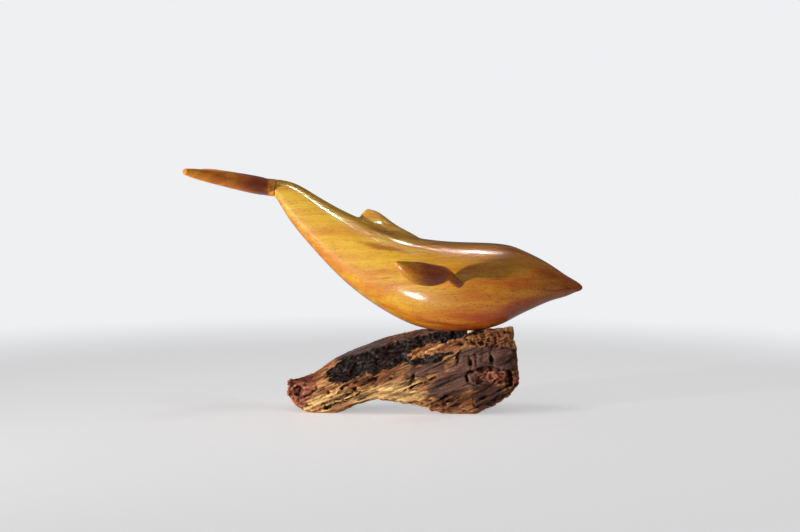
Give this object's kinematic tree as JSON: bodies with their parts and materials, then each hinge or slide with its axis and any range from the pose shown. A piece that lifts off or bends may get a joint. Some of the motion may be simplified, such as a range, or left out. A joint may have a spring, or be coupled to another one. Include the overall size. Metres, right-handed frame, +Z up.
{
  "type": "whale figurine",
  "caption": "Carved wooden whale figurine with swept flippers and tail fluke, lying tail-up on a dowel in a seat cut into a rough lump of root wood.",
  "frame": {"origin": "on the floor under the middle of the whale: midway between the nose tip and the fluke tips, in the whale's plane of symmetry", "axes": "+X towards the whale's nose, +Z up, so that the whale's right flipper points to -Y; the root wood's broken front face looks to -Y"},
  "size_m": [0.2601, 0.1122, 0.1615],
  "materials": {
    "whale_wood": "honey-coloured hardwood under glossy clear lacquer",
    "dowel_wood": "plain turned hardwood",
    "root_wood": "raw broken root wood, partly charred, with bark"
  },
  "bodies": {
    "base": {"driftwood_base": "root_wood", "mounting_dowel": "dowel_wood"},
    "whale": {"whale_body": "whale_wood", "tail_fluke": "whale_wood", "right_flipper": "whale_wood", "left_flipper": "whale_wood", "fluke_dowel": "dowel_wood", "right_flipper_dowel": "dowel_wood", "left_flipper_dowel": "dowel_wood"}
  },
  "joints": [
    {"name": "lift_off", "type": "slide", "parent": "base", "child": "whale", "axis": [0, 0, 1], "range_m": [0, 0.03]}
  ]
}
